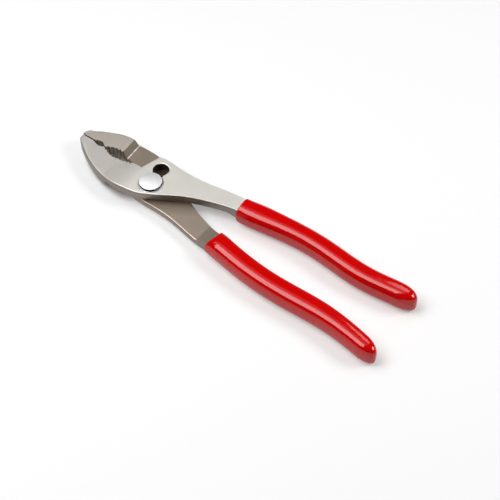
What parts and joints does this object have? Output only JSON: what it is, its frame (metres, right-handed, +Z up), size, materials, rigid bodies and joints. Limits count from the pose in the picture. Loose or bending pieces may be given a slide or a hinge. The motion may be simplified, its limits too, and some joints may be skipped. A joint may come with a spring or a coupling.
{
  "type": "slip joint pliers",
  "caption": "Slip joint pliers with lapped forged steel halves, toothed jaws with a pipe grip, a domed pivot bolt that slides between two holes, and red dipped vinyl grips",
  "frame": {"origin": "on the pivot axis, at the flat end of the pivot nut that the tool rests on, jaws closed and pivot in the near hole", "axes": "+X from the pivot towards the handles, +Y from the pin half's handle towards the slotted half's handle, +Z up through the joint to the domed head of the pivot bolt"},
  "size_m": [0.2106, 0.0479, 0.0132],
  "materials": {
    "ground_steel": "flat faces ground to a satin, edges slightly broken",
    "forged_steel": "satin forged and blasted steel, duller in the laps",
    "polished_steel": "polished",
    "red_vinyl": "smooth glossy dipped vinyl"
  },
  "bodies": {
    "slotted_side": {"slotted_half": "ground_steel", "slotted_half_grip": "red_vinyl"},
    "pivot": {"pivot_bolt": "polished_steel", "pivot_nut": "polished_steel"},
    "pin_side": {"pin_half": "forged_steel", "pin_half_grip": "red_vinyl"}
  },
  "joints": [
    {"name": "slip", "type": "slide", "parent": "slotted_side", "child": "pivot", "axis": [-0.1891, 0.982, 0], "range_m": [0, 0.0108]},
    {"name": "opening", "type": "hinge", "parent": "pivot", "child": "pin_side", "pos_m": [0, 0, 0.0063], "axis": [0, 0, -1], "range_deg": [0, 60]}
  ]
}
